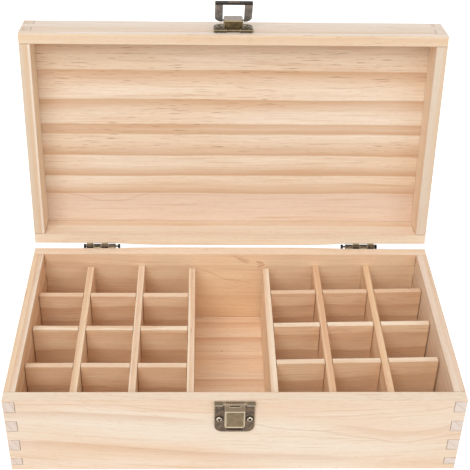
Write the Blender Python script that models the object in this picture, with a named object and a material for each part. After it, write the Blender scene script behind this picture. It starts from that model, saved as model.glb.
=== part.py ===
"""Pine storage box for essential oil bottles, lid open, modelled in metres with +Z up.

The origin is the centre of the underside of the box. The front faces -Y. The lid's pieces are built as
if the lid were shut and hang on an empty on the hinge axis, which is turned to the open angle.
"""

from math import ceil, cos, hypot, pi, radians, sin, tan

import bmesh
import bpy
from mathutils import Matrix, Vector

# Box and lid
box_length = 0.295
box_depth = 0.162
body_height = 0.0635
lid_height = 0.030
wall = 0.0075
lid_gap = 0.0003
open_angle = radians(97.6)

# Clearances
glue_gap = 0.0003
seat_gap = 0.0003
turn_gap = 0.0003
running_gap = 0.0001
cut_overrun = 0.002
weld_distance = 0.0000003

# Finger joints: how far the first side finger starts from the rim, then finger and pitch
finger_height = 0.0088
finger_pitch = 0.0172
body_first_finger = 0.0017
body_last_land = 0.0046
lid_first_finger = 0.0050
lid_last_land = 0.0

# Bottom and top panels in their rabbets
bottom_thickness = 0.0027
bottom_rabbet = 0.0040
top_thickness = 0.0072
top_rabbet = 0.0038

# Dividers: slots each side of the middle compartment, counted along the box's length
slots_each_side = 3
divider_height = 0.0504
long_thickness = 0.0046
cross_thickness = 0.0044
slot_width_share = 0.1193
middle_width_share = 0.1807
middle_shift = -0.0015
lap_gap = 0.0004
long_front_gap = 0.0004
left_back_gaps = {"outer": 0.0024, "inner": 0.0004, "middle": 0.0040}
right_back_gaps = {"outer": 0.0004, "inner": 0.0004, "middle": 0.0040}
cross_back_share = 0.2673
cross_centre_share = 0.4951
cross_front_share = 0.7309
cross_right_offset = -0.0032
cross_right_skew = radians(1.4)
cross_left_gap = 0.0005
cross_right_gaps = {"back": 0.0005, "centre": 0.0008, "front": 0.0013}

# Butt hinges on the back
hinge_centre_share = 0.3322
hinge_pin_offset = 0.0026
hinge_leaf_length = 0.014
hinge_leaf_thickness = 0.0009
hinge_leaf_corner = 0.0020
hinge_knuckle_length = 0.0056
hinge_knuckles = 4
hinge_barrel_radius = 0.0017
hinge_pin_radius = 0.0006
hinge_head_radius = 0.0017
hinge_head_length = 0.0015
hinge_head_stand_off = 0.0016
hinge_hole_radius = 0.0011
hinge_hole_spacing = 0.0130
hinge_hole_setback = 0.0085

# Latch plates, with the pin's distance from each rim
latch_shift = -0.0006
body_plate_width = 0.0258
body_plate_length = 0.0267
lid_plate_width = 0.0272
lid_plate_length = 0.0192
plate_thickness = 0.0008
plate_corner = 0.0050
plate_barrel_radius = 0.0014
plate_pin_height = 0.00175
plate_pin_radius = 0.0006
plate_hole_radius = 0.0011
plate_hole_spacing = 0.0196
body_pin_drop = 0.0017
body_hole_setback = 0.0138
body_knuckle_gap = 0.0150
body_knuckle_width = 0.0262
lid_pin_rise = 0.0040
lid_hole_setback = 0.0100
lid_knuckle_gap = 0.0092
lid_knuckle_width = 0.0268

# Latch lever, a bent sheet that turns on the body's pin
lever_width = 0.0129
lever_thickness = 0.0008
lever_top_height = 0.0052
lever_knee_drop = 0.0054
lever_tip_drop = 0.0195
lever_corner = 0.0021
lever_slot_width = 0.0070
lever_slot_height = 0.0008
lever_slot_reach = 0.0024

# Latch cap, a housing fixed on the lid's plate
cap_width = 0.0134
cap_near_rise = 0.0060
cap_far_rise = 0.0180
cap_height = 0.0082
cap_wall = 0.0008
cap_edge = 0.0012

# Latch loop, which turns in the cap's sides and ends under the lever
loop_width = 0.0256
loop_window_width = 0.0147
loop_thickness = 0.0012
loop_pivot_rise = 0.0120
loop_pivot_height = 0.0065
loop_bar_drop = 0.0075
loop_bar_height = 0.0031
loop_bar_thickness = 0.0016
loop_bar_width = 0.0021
loop_heel = 0.0010
loop_corner = 0.0048
loop_stud_radius = 0.0007
loop_stud_overlap = 0.0012
loop_tongue_width = 0.0070
loop_tongue_length = 0.0010
loop_lean = radians(39.5)

# Facets
pin_facets = 16
hole_facets = 12
corner_steps = 4
round_profile_share = 0.5


def derived_axis():
    """Place of the hinge axis, behind the back face and half way up the gap between the rims."""
    return Vector((0.0, box_depth / 2 + hinge_pin_offset, body_height + lid_gap / 2))


# Helpers

def clear_scene():
    for item in list(bpy.data.objects):
        bpy.data.objects.remove(item, do_unlink=True)


def make_material(name, colour, roughness, metallic):
    material = bpy.data.materials.new(name)
    material.use_nodes = True
    shader = material.node_tree.nodes["Principled BSDF"]
    shader.inputs["Base Color"].default_value = (*colour, 1.0)
    shader.inputs["Roughness"].default_value = roughness
    shader.inputs["Metallic"].default_value = metallic
    return material


def add_empty(name, location, tilt, parent=None):
    empty = bpy.data.objects.new(name, None)
    bpy.context.collection.objects.link(empty)
    empty.location = location
    empty.rotation_euler = (tilt, 0.0, 0.0)
    empty.parent = parent
    return empty


def add_object(name, shape, material, parent=None, location=(0.0, 0.0, 0.0), rotation=(0.0, 0.0, 0.0)):
    """Turn a bmesh into a named object."""
    bmesh.ops.recalc_face_normals(shape, faces=shape.faces)
    mesh = bpy.data.meshes.new(name)
    shape.to_mesh(mesh)
    shape.free()
    item = bpy.data.objects.new(name, mesh)
    bpy.context.collection.objects.link(item)
    item.location = location
    item.rotation_euler = rotation
    item.parent = parent
    if material:
        mesh.materials.append(material)
    return item


def combine(target, tool, operation):
    """Cut the tool from the target or join it on, and keep the tool as a hidden guide."""
    tool.hide_render = True
    tool.display_type = "WIRE"
    step = target.modifiers.new(tool.name, "BOOLEAN")
    step.operation = operation
    step.solver = "EXACT"
    step.object = tool


def smooth(item, angle=radians(35)):
    item.data.shade_smooth()
    item.data.set_sharp_from_angle(angle=angle)


def round_edges(shape, edges, radius):
    bmesh.ops.bevel(
        shape, geom=edges, offset=radius, segments=corner_steps, affect="EDGES", profile=round_profile_share
    )


def prism(outline, depth, first, second, start=0.0):
    """Extrude an outline in the plane of two directions by a depth along their cross product."""
    first = Vector(first)
    second = Vector(second)
    normal = first.cross(second)
    shape = bmesh.new()
    corners = [shape.verts.new(first * a + second * b + normal * start) for a, b in outline]
    face = shape.faces.new(corners)
    grown = bmesh.ops.extrude_face_region(shape, geom=[face])["geom"]
    moved = [item for item in grown if isinstance(item, bmesh.types.BMVert)]
    bmesh.ops.translate(shape, vec=normal * depth, verts=moved)
    return shape


def block(low, high):
    """A rectangular block between two corners."""
    outline = [(low[0], low[1]), (high[0], low[1]), (high[0], high[1]), (low[0], high[1])]
    return prism(outline, high[2] - low[2], (1, 0, 0), (0, 1, 0), low[2])


def rod(radius, low, high, axis, centre, facets):
    """A round rod along the X, Y or Z axis, from low to high on it, through a centre."""
    turns = {"X": Matrix.Rotation(pi / 2, 4, "Y"), "Y": Matrix.Rotation(-pi / 2, 4, "X"), "Z": Matrix.Identity(4)}
    along = turns[axis] @ Vector((0, 0, (low + high) / 2))
    place = Matrix.Translation(Vector(centre) + along) @ turns[axis]
    shape = bmesh.new()
    bmesh.ops.create_cone(
        shape, cap_ends=True, segments=facets, radius1=radius, radius2=radius, depth=high - low, matrix=place
    )
    return shape


def turned(profile, facets):
    """Spin a profile of (x, radius) points, from axis to axis, about the X axis."""
    shape = bmesh.new()
    points = [shape.verts.new((x, 0.0, radius)) for x, radius in profile]
    edges = [shape.edges.new(pair) for pair in zip(points, points[1:])]
    bmesh.ops.spin(
        shape, geom=points + edges, cent=(0, 0, 0), axis=(1, 0, 0), angle=2 * pi, steps=facets, use_merge=True
    )
    bmesh.ops.remove_doubles(shape, verts=shape.verts, dist=weld_distance)
    return shape


def stepped_edge(spans, low, high, land, step):
    """Points (place, reach) along an edge that lies at land and, within the spans, at step."""
    points = []
    cursor = low
    for start, end in spans:
        start = max(start, low)
        end = min(end, high)
        if start > cursor:
            points += [(cursor, land), (start, land)]
        points += [(start, step), (end, step)]
        cursor = end
    if cursor < high:
        points += [(cursor, land), (high, land)]
    return points


def rounded_corner(centre, radius, start):
    """A quarter circle of points about a centre, turning anticlockwise from a start angle."""
    angles = [start + pi / 2 * k / corner_steps for k in range(corner_steps + 1)]
    return [(centre[0] + radius * cos(a), centre[1] + radius * sin(a)) for a in angles]


def sheet_outline(path, thickness):
    """The outline of a bent sheet: a path of points, and the same path offset to its left."""
    points = [Vector(point) for point in path]
    headings = [(b - a).normalized() for a, b in zip(points, points[1:])]
    offset = []
    for k, point in enumerate(points):
        before = headings[max(k - 1, 0)]
        after = headings[min(k, len(headings) - 1)]
        mitre = Vector((-before.y - after.y, before.x + after.x)).normalized()
        offset.append(point + mitre * thickness / mitre.dot(Vector((-after.y, after.x))))
    return points + offset[::-1]


# Boards with finger joints

def side_fingers(height, first, last_land):
    """Distances from the rim at which each side finger starts and ends."""
    count = ceil((height - last_land - first) / finger_pitch)
    starts = [first + finger_pitch * k for k in range(count)]
    return [(start, min(start + finger_height, height - last_land)) for start in starts]


def long_board_outline(height, first, last_land):
    """A front or back board in (x, distance from the rim): notched where the side fingers come through."""
    notches = [(a - glue_gap, b + glue_gap) for a, b in side_fingers(height, first, last_land)]
    half = box_length / 2
    edge = stepped_edge(notches, 0.0, height, half, half - wall - glue_gap)
    return [(reach, place) for place, reach in edge] + [(-reach, place) for place, reach in edge[::-1]]


def side_board_outline(height, first, last_land):
    """A side board in (y, distance from the rim), its fingers flush with the front and back."""
    half = box_depth / 2
    spans = side_fingers(height, first, last_land)
    edge = stepped_edge(spans, 0.0, height, half - wall - glue_gap, half)
    return [(reach, place) for place, reach in edge] + [(-reach, place) for place, reach in edge[::-1]]


def panel_size(rabbet):
    """Half length and half depth of a panel's pocket."""
    return box_length / 2 - wall + rabbet, box_depth / 2 - wall + rabbet


def add_boards(names, height, fingers, down, rim, centre_y, pocket, material, parent=None):
    """Four finger-jointed boards round a centre, and the panel pocket cut from each.

    down is the direction from the rim to the panel along Z, -1 for the box and +1 for the lid.
    """
    long_outline = long_board_outline(height, *fingers)
    side_outline = side_board_outline(height, *fingers)
    half_depth = box_depth / 2
    half_length = box_length / 2
    starts = [-half_depth, half_depth - wall]
    made = []
    for name, start in zip(names[:2], starts):
        shape = prism(long_outline, -down * wall, (1, 0, 0), (0, 0, down), -down * start)
        made.append(add_object(name, shape, material, parent, (0.0, centre_y, rim)))
    starts = [-half_length, half_length - wall]
    for name, start in zip(names[2:], starts):
        shape = prism(side_outline, down * wall, (0, 1, 0), (0, 0, down), down * start)
        made.append(add_object(name, shape, material, parent, (0.0, centre_y, rim)))
    for board in made:
        combine(board, pocket, "DIFFERENCE")
    return made


def add_pocket_and_panel(name, rabbet, low, thickness, inward, centre_y, material, parent=None):
    """A panel let into the boards, flush outside, and the pocket that the boards lose to it."""
    half_length, half_depth = panel_size(rabbet)
    outside = -inward * cut_overrun
    heights = sorted((outside, inward * (thickness + glue_gap)))
    shape = block((-half_length, -half_depth, heights[0]), (half_length, half_depth, heights[1]))
    pocket = add_object(name + "_pocket", shape, None, parent, (0.0, centre_y, low))
    heights = sorted((0.0, inward * thickness))
    half_length -= glue_gap
    half_depth -= glue_gap
    shape = block((-half_length, -half_depth, heights[0]), (half_length, half_depth, heights[1]))
    add_object(name, shape, material, parent, (0.0, centre_y, low))
    return pocket


# Dividers, half-lapped where they cross

def long_places():
    """Centre of each long divider along X, from the left."""
    inner_length = box_length - 2 * wall
    pitch = slot_width_share * inner_length + long_thickness
    offset = (middle_width_share * inner_length + long_thickness) / 2
    steps = range(slots_each_side)
    left = [middle_shift - offset - pitch * k for k in reversed(steps)]
    right = [middle_shift + offset + pitch * k for k in steps]
    return left + right


def cross_lines():
    """Each cross divider as its row, side, origin on the inner long divider and skew."""
    places = long_places()
    rows = [("back", cross_back_share), ("centre", cross_centre_share), ("front", cross_front_share)]
    lines = []
    for row, share in rows:
        y = box_depth / 2 - share * box_depth
        lines.append((row, "left", places[slots_each_side - 1], y, 0.0))
        lines.append((row, "right", places[slots_each_side], y - cross_right_offset, cross_right_skew))
    return lines


def divider_floor():
    return bottom_thickness + seat_gap


def add_long_divider(name, x, back_gap, lines, material):
    """A front-to-back divider, slotted from below to half its height where the crosses pass."""
    half_inner = box_depth / 2 - wall
    spans = []
    for _, _, origin_x, origin_y, skew in lines:
        centre = origin_y + (x - origin_x) * tan(skew)
        half = (cross_thickness / cos(skew) + long_thickness * tan(skew)) / 2 + lap_gap
        spans.append((centre - half, centre + half))
    spans.sort()
    low = -half_inner + long_front_gap
    high = half_inner - back_gap
    edge = stepped_edge(spans, low, high, 0.0, (divider_height + lap_gap) / 2)
    outline = edge + [(high, divider_height), (low, divider_height)]
    shape = prism(outline, long_thickness, (0, 1, 0), (0, 0, 1), -long_thickness / 2)
    add_object(name, shape, material, None, (x, 0.0, divider_floor()))


def add_cross_divider(name, line, longs, material):
    """A side-to-side divider, slotted from above to half its height where the long ones pass."""
    row, side, origin_x, origin_y, skew = line
    sign = -1 if side == "left" else 1
    gap = cross_left_gap if side == "left" else cross_right_gaps[row]
    reach = (box_length / 2 - wall - gap - sign * origin_x) / cos(skew) - cross_thickness * tan(skew)
    half = (long_thickness / cos(skew) + cross_thickness * tan(skew)) / 2 + lap_gap
    spans = [(sign * (x - origin_x) / cos(skew) - half, sign * (x - origin_x) / cos(skew) + half) for x in longs]
    spans.sort()
    start = -long_thickness / 2
    edge = stepped_edge(spans, start, reach, divider_height, (divider_height - lap_gap) / 2)
    outline = [(sign * a, b) for a, b in [(start, 0.0), (reach, 0.0)] + edge[::-1]]
    shape = prism(outline, cross_thickness, (1, 0, 0), (0, 0, 1), -cross_thickness / 2)
    add_object(name, shape, material, None, (origin_x, origin_y, divider_floor()), (0.0, 0.0, skew))


def add_dividers(material):
    places = long_places()
    lines = cross_lines()
    kinds = ["outer", "inner", "middle", "middle", "inner", "outer"]
    for k, x in enumerate(places):
        side = "left" if k < slots_each_side else "right"
        gaps = left_back_gaps if side == "left" else right_back_gaps
        own = [line for line in lines if line[1] == side]
        add_long_divider(f"divider_long_{side}_{kinds[k]}", x, gaps[kinds[k]], own, material)
    for line in lines:
        own = places[:slots_each_side] if line[1] == "left" else places[slots_each_side:]
        add_cross_divider(f"divider_cross_{line[1]}_{line[0]}", line, own, material)


# Hinge leaves and latch plates: a plate whose edge is rolled into knuckles round a pin

def leaf_outline(width, length, corner, barrel, knuckles):
    """A leaf in (x, z) with the pin's axis at zero: stepped at the pin, round at its far corners."""
    half = width / 2
    inset = turn_gap
    spans = [(a + inset, b - inset) for a, b in knuckles]
    edge = stepped_edge(spans, -half, half, -barrel - turn_gap, 0.0)
    left = rounded_corner((-half + corner, corner - length), corner, pi)
    right = rounded_corner((half - corner, corner - length), corner, 1.5 * pi)
    return left + right + edge[::-1]


def add_leaf(name, size, knuckles, holes, material, parent, location, rotation):
    """A plate with rolled knuckles. Its pin lies on its own X axis and the wood at -Y.

    size holds the width, length, thickness, corner, barrel radius, pin height and pin radius.
    """
    width, length, thickness, corner, barrel, pin_height, pin_radius = size
    hole_spacing, hole_setback, hole_radius = holes
    outline = leaf_outline(width, length, corner, barrel, knuckles)
    back = seat_gap - pin_height
    shape = prism(outline, -thickness, (1, 0, 0), (0, 0, 1), -back)
    leaf = add_object(name, shape, material, parent, location, rotation)
    for k, (low, high) in enumerate(knuckles):
        tool = rod(barrel, low, high, "X", (0, 0, 0), pin_facets)
        combine(leaf, add_object(f"{name}_knuckle_{k}", tool, None, parent, location, rotation), "UNION")
    tool = rod(pin_radius + running_gap, -width, width, "X", (0, 0, 0), pin_facets)
    combine(leaf, add_object(name + "_bore", tool, None, parent, location, rotation), "DIFFERENCE")
    for k, side in enumerate((-1, 1)):
        place = (side * hole_spacing / 2, 0, -hole_setback)
        tool = rod(hole_radius, -pin_height - cut_overrun, cut_overrun, "Y", place, hole_facets)
        combine(leaf, add_object(f"{name}_hole_{k}", tool, None, parent, location, rotation), "DIFFERENCE")
    smooth(leaf)
    return leaf


def hinge_knuckle_spans(first):
    """Every other knuckle of a hinge, from the first one on, with half a turning gap at each end."""
    low = -hinge_knuckle_length * hinge_knuckles / 2
    spans = []
    for k in range(first, hinge_knuckles, 2):
        start = low + hinge_knuckle_length * k
        spans.append((start + turn_gap / 2, start + hinge_knuckle_length - turn_gap / 2))
    return spans


def mirrored(spans):
    return [(-high, -low) for low, high in spans[::-1]]


def add_hinge(name, side, lid, material):
    """One butt hinge on the back: two leaves with alternate knuckles, and a pin with two heads."""
    axis = derived_axis()
    width = hinge_knuckle_length * hinge_knuckles
    size = (width, hinge_leaf_length, hinge_leaf_thickness, hinge_leaf_corner, hinge_barrel_radius,
            hinge_pin_offset, hinge_pin_radius)
    holes = (hinge_hole_spacing, hinge_hole_setback, hinge_hole_radius)
    x = side * hinge_centre_share * box_length
    body_spans = hinge_knuckle_spans(1)
    lid_spans = hinge_knuckle_spans(0)
    if side > 0:
        body_spans = mirrored(body_spans)
        lid_spans = mirrored(lid_spans)
    add_leaf(name + "_body_leaf", size, body_spans, holes, material, None, (x, axis.y, axis.z), (0, 0, 0))
    add_leaf(name + "_lid_leaf", size, mirrored(lid_spans), holes, material, lid, (x, 0, 0), (0, pi, 0))
    outer = width / 2 + turn_gap
    inner = width / 2 + hinge_head_stand_off
    profile = [
        (-outer - hinge_head_length, 0.0),
        (-outer - hinge_head_length, hinge_head_radius),
        (-outer, hinge_head_radius),
        (-outer, hinge_pin_radius),
        (inner, hinge_pin_radius),
        (inner, hinge_head_radius),
        (inner + hinge_head_length, hinge_head_radius),
        (inner + hinge_head_length, 0.0),
    ]
    turn = 0.0 if side < 0 else pi
    pin = add_object(name + "_pin", turned(profile, pin_facets), material, None, (x, axis.y, axis.z), (0, 0, turn))
    smooth(pin)


def add_plain_pin(name, half_length, material, parent, location):
    profile = [
        (-half_length, 0.0),
        (-half_length, plate_pin_radius),
        (half_length, plate_pin_radius),
        (half_length, 0.0),
    ]
    pin = add_object(name, turned(profile, pin_facets), material, parent, location)
    smooth(pin)


def plate_size(width, length):
    return (width, length - plate_barrel_radius, plate_thickness, plate_corner, plate_barrel_radius,
            plate_pin_height, plate_pin_radius)


def paired_spans(gap, width):
    return [(-width / 2, -gap / 2), (gap / 2, width / 2)]


# Latch on the box: plate, pin and lever

def add_body_latch(lever_axis, material):
    size = plate_size(body_plate_width, body_plate_length)
    place = tuple(lever_axis.location)
    knuckles = paired_spans(body_knuckle_gap, body_knuckle_width)
    holes = (plate_hole_spacing, body_hole_setback, plate_hole_radius)
    add_leaf("latch_body_plate", size, knuckles, holes, material, None, place, (0, 0, pi))
    add_plain_pin("latch_body_pin", body_knuckle_width / 2, material, None, place)
    add_lever(lever_axis, material)


def add_lever(lever_axis, material):
    """A sheet curled round the pin, bent up off the plate and then down along it."""
    top = lever_top_height - plate_pin_height
    curl = plate_barrel_radius - lever_thickness / 4
    knee = body_pin_drop - lever_knee_drop
    tip = body_pin_drop - lever_tip_drop
    path = [(-curl * cos(pi / 4), curl * sin(pi / 4)), (-top, knee), (-top, tip)]
    outline = sheet_outline(path, lever_thickness)
    shape = prism(outline, lever_width, (0, 1, 0), (0, 0, 1), -lever_width / 2)
    corners = [
        edge for edge in shape.edges
        if all(abs(vert.co.z - tip) < seat_gap for vert in edge.verts)
        and abs(edge.verts[0].co.x - edge.verts[1].co.x) < seat_gap
    ]
    round_edges(shape, corners, lever_corner)
    lever = add_object("latch_lever", shape, material, lever_axis)
    half = lever_width / 2 - lever_thickness / 4
    tool = rod(plate_barrel_radius, -half, half, "X", (0, 0, 0), pin_facets)
    combine(lever, add_object("latch_lever_curl", tool, None, lever_axis), "UNION")
    tool = rod(plate_pin_radius + running_gap, -lever_width, lever_width, "X", (0, 0, 0), pin_facets)
    combine(lever, add_object("latch_lever_bore", tool, None, lever_axis), "DIFFERENCE")
    half = lever_slot_width / 2
    tool = block((-half, -lever_slot_reach, -lever_slot_height), (half, 0.0, 0.0))
    combine(lever, add_object("latch_lever_slot", tool, None, lever_axis), "DIFFERENCE")
    smooth(lever)


# Latch on the lid: plate, pin, cap and loop

def lid_front():
    """The lid's front face along Y, from the hinge axis."""
    return -hinge_pin_offset - box_depth


def add_lid_latch(lid, loop_axis, material):
    size = plate_size(lid_plate_width, lid_plate_length)
    place = (latch_shift, lid_front() - plate_pin_height, lid_gap / 2 + lid_pin_rise)
    knuckles = paired_spans(lid_knuckle_gap, lid_knuckle_width)
    holes = (plate_hole_spacing, lid_hole_setback, plate_hole_radius)
    add_leaf("latch_lid_plate", size, knuckles, holes, material, lid, place, (pi, 0, 0))
    add_plain_pin("latch_lid_pin", lid_knuckle_width / 2, material, lid, place)
    add_cap(lid, loop_axis, material)
    add_loop(loop_axis, material)


def add_cap(lid, loop_axis, material):
    """A housing open towards the plate, with a hole in each side for the loop's studs."""
    front = lid_front()
    rim = lid_gap / 2
    inside = front - plate_thickness - 2 * seat_gap
    half = cap_width / 2
    shape = block((-half, front - cap_height, rim + cap_near_rise), (half, inside, rim + cap_far_rise))
    outer = [edge for edge in shape.edges if any(vert.co.y < inside - seat_gap for vert in edge.verts)]
    round_edges(shape, outer, cap_edge)
    place = (latch_shift, 0.0, 0.0)
    cap = add_object("latch_lid_cap", shape, material, lid, place)
    half -= cap_wall
    low = (-half, front - cap_height + cap_wall, rim + cap_near_rise + cap_wall)
    tool = block(low, (half, inside + cut_overrun, rim + cap_far_rise - cap_wall))
    combine(cap, add_object("latch_lid_cap_hollow", tool, None, lid, place), "DIFFERENCE")
    reach = cap_width
    tool = rod(loop_stud_radius + running_gap, -reach, reach, "X", tuple(loop_axis.location), pin_facets)
    combine(cap, add_object("latch_lid_cap_holes", tool, None, lid), "DIFFERENCE")
    smooth(cap)


def loop_reach():
    """From the loop's pivot to the middle of its end bar, with the bar under the lever when shut."""
    along = loop_pivot_rise + lid_gap + loop_bar_drop
    return hypot(along, loop_pivot_height - loop_bar_height)


def loop_legs_outline():
    """The loop in (x, z) from its pivot: two legs with round heels and the end between them."""
    half = loop_width / 2
    window = loop_window_width / 2
    end = loop_reach() + loop_bar_width / 2
    inside = loop_reach() - loop_bar_width / 2
    radius = loop_corner
    heel = rounded_corner((half - radius, radius - loop_heel), radius, 1.5 * pi)
    right = [(window, inside), (window, -loop_heel)] + heel + [(half, end)]
    return right + [(-x, z) for x, z in right[::-1]]


def add_loop(loop_axis, material):
    """Flat legs, a thicker end bar with a tongue beyond it, and a stud at each heel."""
    half = loop_thickness / 2
    shape = prism(loop_legs_outline(), loop_thickness, (1, 0, 0), (0, 0, 1), -half)
    loop = add_object("latch_loop", shape, material, loop_axis)
    reach = loop_reach()
    side = loop_width / 2 - loop_thickness / 4
    middle = loop_bar_width / 2 + loop_thickness / 8
    low = (-side, -loop_bar_thickness / 2, reach - middle)
    shape = block(low, (side, loop_bar_thickness / 2, reach + middle))
    bar = add_object("latch_loop_bar", shape, None, loop_axis)
    combine(loop, bar, "UNION")
    low = (-loop_tongue_width / 2, -loop_thickness / 3, reach)
    high = (loop_tongue_width / 2, loop_thickness / 3, reach + loop_bar_width / 2 + loop_tongue_length)
    combine(loop, add_object("latch_loop_tongue", block(low, high), None, loop_axis), "UNION")
    inner = cap_width / 2 - cap_wall - seat_gap
    outer = loop_window_width / 2 + loop_stud_overlap
    for k, side in enumerate((-1, 1)):
        low, high = sorted((side * inner, side * outer))
        stud = rod(loop_stud_radius, low, high, "X", (0, 0, 0), pin_facets)
        combine(loop, add_object(f"latch_loop_stud_{k}", stud, None, loop_axis), "UNION")
    smooth(loop)


def build():
    clear_scene()
    pine = make_material("pine", (0.80, 0.62, 0.42), 0.62, 0.0)
    inner_pine = make_material("inner_pine", (0.72, 0.52, 0.33), 0.66, 0.0)
    divider_pine = make_material("divider_pine", (0.76, 0.56, 0.36), 0.64, 0.0)
    bronze = make_material("aged_bronze", (0.20, 0.17, 0.12), 0.42, 0.9)

    pocket = add_pocket_and_panel("body_bottom_panel", bottom_rabbet, 0.0, bottom_thickness, 1, 0.0, inner_pine)
    names = ["body_front_board", "body_back_board", "body_left_board", "body_right_board"]
    fingers = (body_first_finger, body_last_land)
    add_boards(names, body_height, fingers, -1, body_height, 0.0, pocket, pine)
    add_dividers(divider_pine)

    axis = derived_axis()
    lid = add_empty("lid_axis", axis, -open_angle)
    lid_centre = -hinge_pin_offset - box_depth / 2
    rim = lid_gap / 2
    pocket = add_pocket_and_panel(
        "lid_top_panel", top_rabbet, rim + lid_height, top_thickness, -1, lid_centre, inner_pine, lid
    )
    names = ["lid_front_rail", "lid_back_rail", "lid_left_rail", "lid_right_rail"]
    fingers = (lid_first_finger, lid_last_land)
    add_boards(names, lid_height, fingers, 1, rim, lid_centre, pocket, pine, lid)

    for name, side in (("hinge_left", -1), ("hinge_right", 1)):
        add_hinge(name, side, lid, bronze)

    front = -box_depth / 2
    pivot = (latch_shift, front - plate_pin_height, body_height - body_pin_drop)
    lever_axis = add_empty("lever_axis", pivot, 0.0)
    add_body_latch(lever_axis, bronze)
    pivot = (latch_shift, lid_front() - loop_pivot_height, rim + loop_pivot_rise)
    loop_axis = add_empty("loop_axis", pivot, pi / 2 + loop_lean, lid)
    add_lid_latch(lid, loop_axis, bronze)
    bpy.context.view_layer.update()


build()
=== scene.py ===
"""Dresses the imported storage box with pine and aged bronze, adds its screws, and stands it in a pale studio."""
import math

import bmesh
import bpy
from mathutils import Matrix, Vector


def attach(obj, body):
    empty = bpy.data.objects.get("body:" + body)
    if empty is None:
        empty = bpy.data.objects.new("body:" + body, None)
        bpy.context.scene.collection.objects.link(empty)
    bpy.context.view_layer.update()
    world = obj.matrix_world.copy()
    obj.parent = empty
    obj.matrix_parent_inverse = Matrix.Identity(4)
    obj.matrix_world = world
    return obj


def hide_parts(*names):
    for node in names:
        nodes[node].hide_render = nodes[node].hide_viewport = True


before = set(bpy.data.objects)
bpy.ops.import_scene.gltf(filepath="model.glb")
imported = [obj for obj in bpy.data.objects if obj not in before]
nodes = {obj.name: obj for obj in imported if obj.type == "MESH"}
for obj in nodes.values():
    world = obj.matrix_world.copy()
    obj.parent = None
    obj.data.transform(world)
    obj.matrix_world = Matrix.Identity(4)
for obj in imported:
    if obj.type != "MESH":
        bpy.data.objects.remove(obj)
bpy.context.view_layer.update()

# Lengths are in metres, and the lid stands open at the photograph's angle.
OPEN_ANGLE = math.radians(97.6)
HINGE_AXIS = Vector((0, 0.0836, 0.06365))
AXIS_X = Vector((1, 0, 0))
AXIS_Y = Vector((0, 1, 0))
AXIS_Z = Vector((0, 0, 1))
LID_TURN = Matrix.Rotation(-OPEN_ANGLE, 3, "X")
LID_UP = LID_TURN @ AXIS_Z
LID_DOWN = LID_TURN @ -AXIS_Z
LID_REAR = LID_TURN @ AXIS_Y
LID_FRONT = LID_TURN @ -AXIS_Y

# The camera that was fitted to the corners of the box in the photograph.
CAMERA_PLACE = (-0.02118, -0.55384, 0.52923)
CAMERA_YAW = 0.02954
CAMERA_PITCH = 0.63317
CAMERA_ROLL = -0.02021
CAMERA_CLIP = (0.01, 20)
FOCAL_PIXELS = 1040.617
CENTRE_PIXELS = (227.587, 249.035)
IMAGE_PIXELS = 470
SENSOR = 36

# The studio. A lamp is (name, place, size, power).
LAMP_TARGET = Vector((0, 0, 0.06))
LAMPS = [("key", (-0.9, -2.0, 2.4), 1.8, 41), ("fill", (1.5, -1.8, 1.4), 1.4, 7)]
WORLD_LIGHT = 0.67
FLOOR_SIZE = 6.0
FLOOR_DROP = 0.0002
FLOOR_GREY = 0.86
FLOOR_GLOW = 0.6

# Colours are sRGB, 0 to 255.
CREAM = (241, 221, 195)
PALE = (243, 228, 209)
TAN = (224, 186, 146)
PINK = (238, 211, 184)
DEEP = (206, 158, 116)
AMBER = (247, 218, 182)
AMBER_PATCH = (242, 204, 166)
AMBER_DARK = (217, 169, 128)
END_GREY = (223, 210, 201)
END_LINE = (202, 180, 168)
DASH_BROWN = (150, 102, 66)
KNOT_BROWN = (190, 128, 80)
LEFT_RIM = (240, 214, 184)
RIGHT_RIM = (236, 216, 199)
LID_FRONT_FACE = (248, 238, 228)
LID_LEFT_RIM = (218, 198, 175)
LID_RIGHT_RIM = (221, 204, 184)
PANEL_FOOT = (238, 215, 195)
TOP_PALE = (252, 238, 216)
TOP_HONEY = (247, 226, 196)
# Painted light: a lighter tone for the side of the right middle divider that looks towards -X, where the key lamp
# falls.
MIDDLE_SIDE_PAINTED_LIGHT = (255, 236, 206)

# The light, the patchy and the dark tone of each kind of board.
AMBER_PINE = (AMBER, AMBER_PATCH, AMBER_DARK)
FRONT_PINE = ((239, 224, 206), (235, 209, 183), TAN)
LEFT_PINE = ((234, 198, 158), AMBER_PATCH, AMBER_DARK)
RIGHT_PINE = ((240, 221, 200), PINK, TAN)
FLOOR_PINE = ((253, 232, 205), (250, 222, 190), (218, 168, 128))
LID_FRONT_PINE = ((238, 216, 189), (234, 207, 178), TAN)
LID_BACK_PINE = (PALE, PINK, TAN)
LID_LEFT_PINE = ((238, 219, 194), (233, 210, 181), TAN)
LID_RIGHT_PINE = ((252, 238, 219), (243, 225, 202), TAN)
PANEL_PINE = ((246, 229, 207), (241, 217, 190), (206, 160, 119))
DIVIDER_TOPS = {"left_outer": TOP_HONEY, "left_inner": TOP_PALE, "left_middle": TOP_PALE,
                "right_middle": TOP_PALE, "right_inner": (230, 190, 154), "right_outer": (238, 204, 164)}

# Growth rings of the dividers, whose pith moves on by a step from one board to the next.
DIVIDER_SEED = 10
LONG_SPACING = 0.007
LONG_PITH = 0.02
LONG_PITH_STEP = 0.01
CROSS_SPACING = 0.012
CROSS_PITH = (-0.03, -0.06)
CROSS_PITH_STEP = 0.002
CROSS_PITH_CYCLE = 5

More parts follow.
